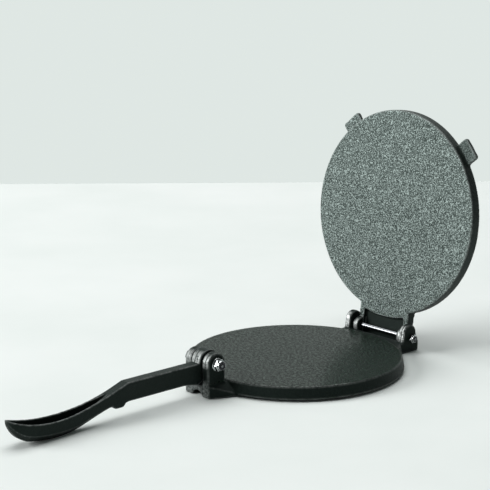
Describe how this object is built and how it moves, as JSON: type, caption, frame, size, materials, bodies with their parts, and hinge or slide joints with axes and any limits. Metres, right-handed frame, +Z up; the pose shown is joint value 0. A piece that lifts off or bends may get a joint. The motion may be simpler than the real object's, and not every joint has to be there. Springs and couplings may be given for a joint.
{
  "type": "tortilla press",
  "caption": "Cast-iron tortilla press: a round base plate with a hinged upper pressing plate and a long front lever that folds over it.",
  "frame": {"origin": "centre of the base's round pressing face", "axes": "+X along both pivot axes, -Y towards the lever and +Y towards the hinge, +Z up out of the base's pressing face"},
  "size_m": [0.2066, 0.4823, 0.2332],
  "materials": {
    "iron": "sandy cast texture under a thin dark coat",
    "iron_lever": "near-black satin coat over cast iron",
    "zinc": "bright zinc plate",
    "nylon": "dark matte nylon"
  },
  "bodies": {
    "base": {"base": "iron", "hinge_bolt": "zinc", "hinge_nut": "zinc", "hinge_nut_insert": "nylon", "lever_bolt": "zinc", "lever_nut": "zinc", "lever_nut_insert": "nylon", "lever_washers": "zinc"},
    "top_plate": {"top_plate": "iron"},
    "lever": {"lever": "iron_lever"}
  },
  "joints": [
    {"name": "plate_hinge", "type": "hinge", "parent": "base", "child": "top_plate", "pos_m": [0, 0.1189, 0], "axis": [1, 0, 0], "range_deg": [0, 95.8]},
    {"name": "lever_pivot", "type": "hinge", "parent": "base", "child": "lever", "pos_m": [0, -0.113, 0.017], "axis": [-1, 0, 0], "range_deg": [0, 180]}
  ]
}
